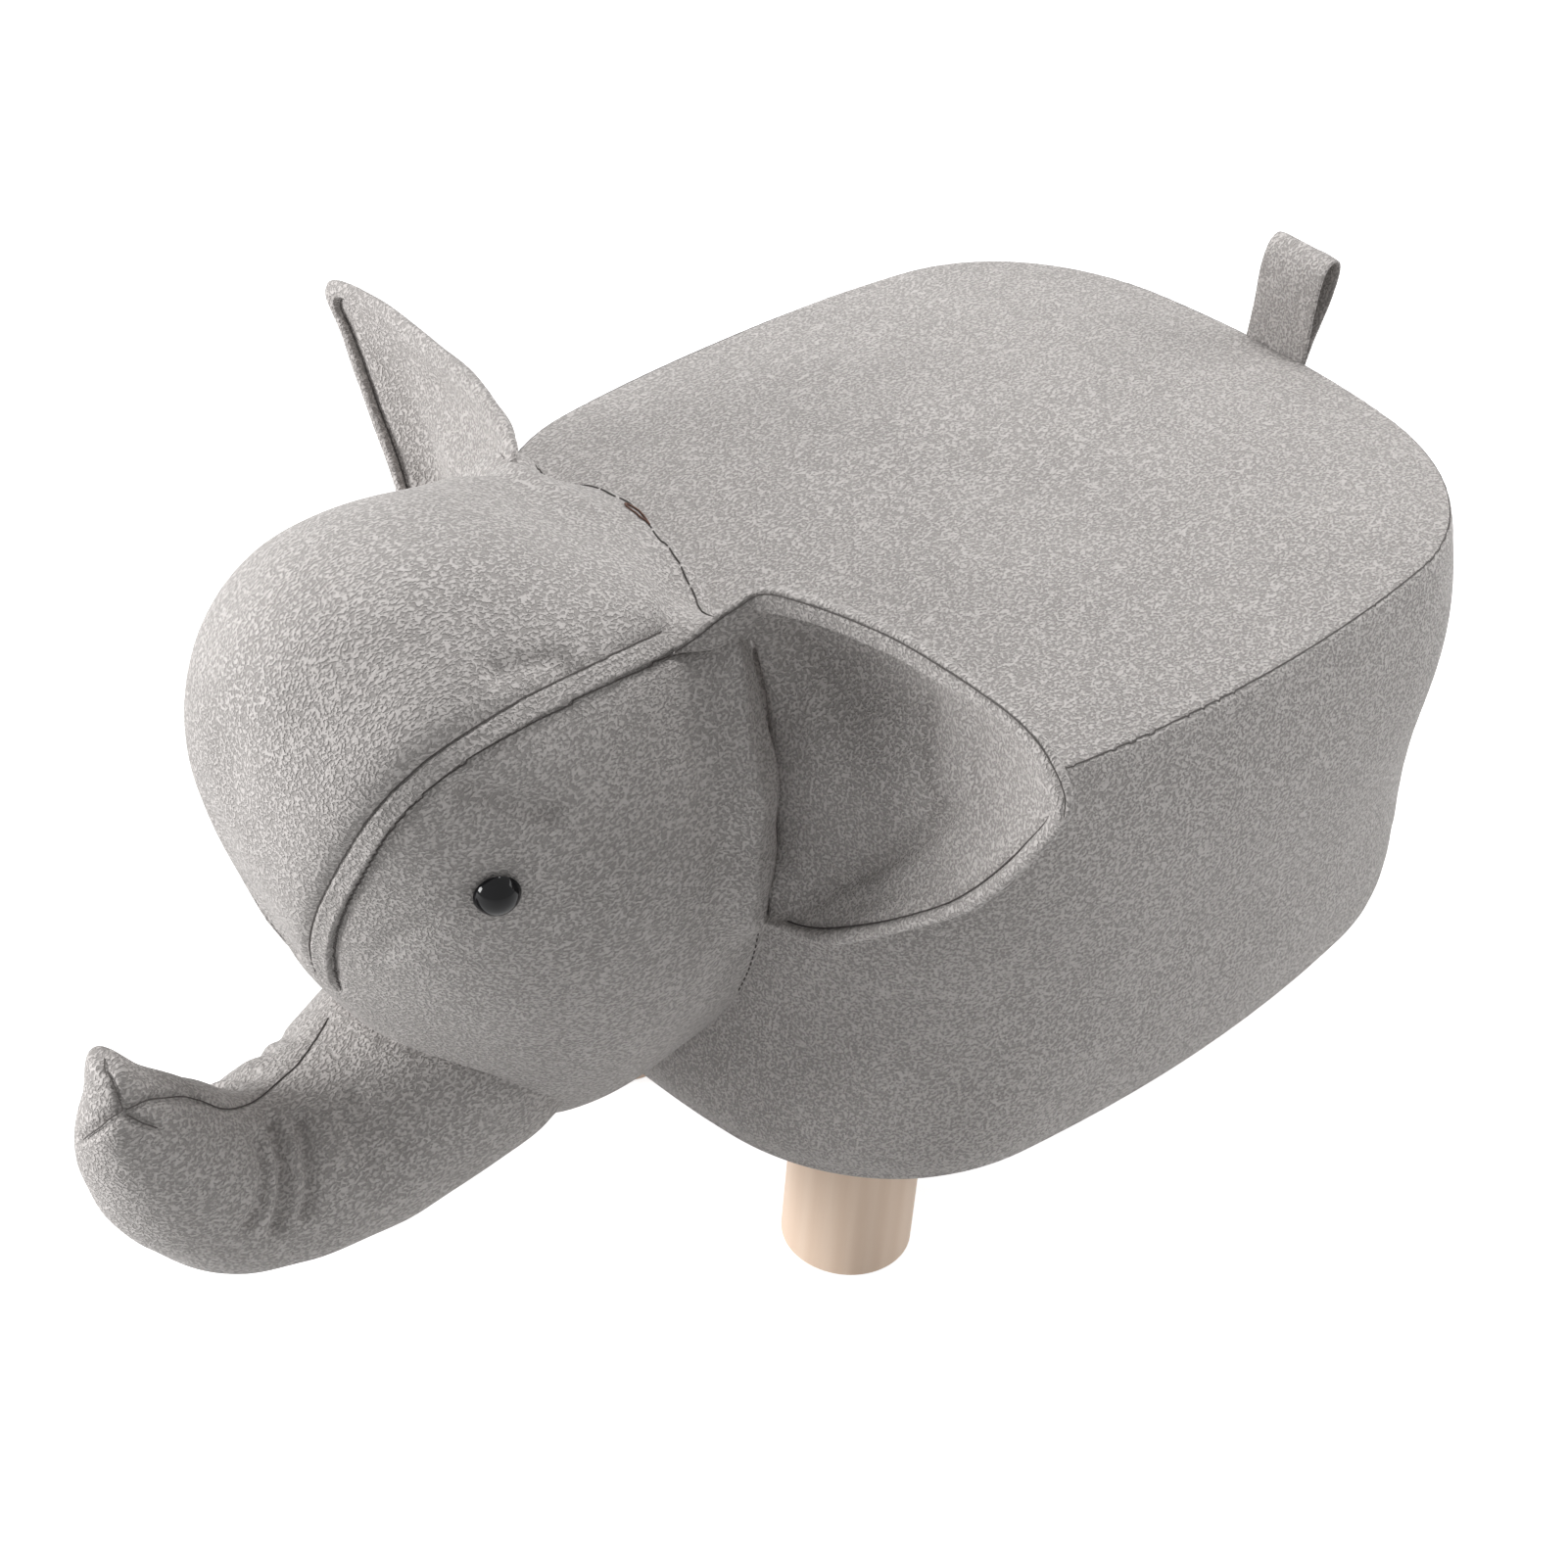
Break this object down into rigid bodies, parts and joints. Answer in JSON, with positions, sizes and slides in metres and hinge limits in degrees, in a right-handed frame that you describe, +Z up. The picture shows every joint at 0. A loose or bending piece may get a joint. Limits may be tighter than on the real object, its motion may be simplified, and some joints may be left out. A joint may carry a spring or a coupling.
{
  "type": "footstool",
  "caption": "Child's padded footstool shaped like an elephant, covered in grey pebbled suede cloth, on round pale wooden legs.",
  "frame": {"origin": "middle of the underside of the whole object's box, on the floor", "axes": "+X forward along the trunk, +Y to the animal's left, +Z up"},
  "size_m": [0.61, 0.3872, 0.3809],
  "materials": {
    "grey_suede": "pebbled faux suede",
    "pale_wood": "clear matt finish",
    "plywood": "raw",
    "hardboard": "raw",
    "foam": "open cell",
    "black_cloth": "spun",
    "zinc_steel": "zinc plated",
    "black_eye": "polished",
    "white_plastic": "moulded",
    "felt": "pressed"
  },
  "bodies": {
    "stool": {"seat_cover_top": "grey_suede", "seat_cover_side": "grey_suede", "crown_gusset": "grey_suede", "chin_gusset": "grey_suede", "left_cheek": "grey_suede", "right_cheek": "grey_suede", "head_back_panel": "grey_suede", "trunk_cover": "grey_suede", "leg_front_left": "pale_wood", "leg_front_right": "pale_wood", "leg_rear_left": "pale_wood", "leg_rear_right": "pale_wood", "base_board": "plywood", "top_board": "plywood", "front_post": "plywood", "rear_post": "plywood", "left_post": "plywood", "right_post": "plywood", "wall_band": "hardboard", "seat_foam": "foam", "side_foam": "foam", "head_stuffing": "foam", "trunk_stuffing": "foam", "dust_cover": "black_cloth", "post_screws": "zinc_steel", "leg_bolts": "zinc_steel", "leg_tee_nuts": "zinc_steel", "dust_cover_staples": "zinc_steel", "left_eye": "black_eye", "right_eye": "black_eye", "eye_washers": "white_plastic", "felt_pads": "felt"},
    "left_ear": {"left_ear_front": "grey_suede", "left_ear_back": "grey_suede"},
    "right_ear": {"right_ear_front": "grey_suede", "right_ear_back": "grey_suede"},
    "tail": {"tail_loop": "grey_suede"}
  },
  "joints": [
    {"name": "left_ear_flap", "type": "hinge", "parent": "stool", "child": "left_ear", "pos_m": [0.07505, 0.08463, 0.219], "axis": [0, 0.1438, -0.9896], "range_deg": [-8, 40], "stiffness_Nm_per_rad": 0.05},
    {"name": "right_ear_flap", "type": "hinge", "parent": "stool", "child": "right_ear", "pos_m": [0.07505, -0.08463, 0.219], "axis": [0, 0.1438, 0.9896], "range_deg": [-8, 40], "stiffness_Nm_per_rad": 0.05},
    {"name": "tail_flop", "type": "hinge", "parent": "stool", "child": "tail", "pos_m": [-0.29195, 0, 0.2829], "axis": [0, 1, 0], "range_deg": [-60, 60], "stiffness_Nm_per_rad": 0.01}
  ]
}
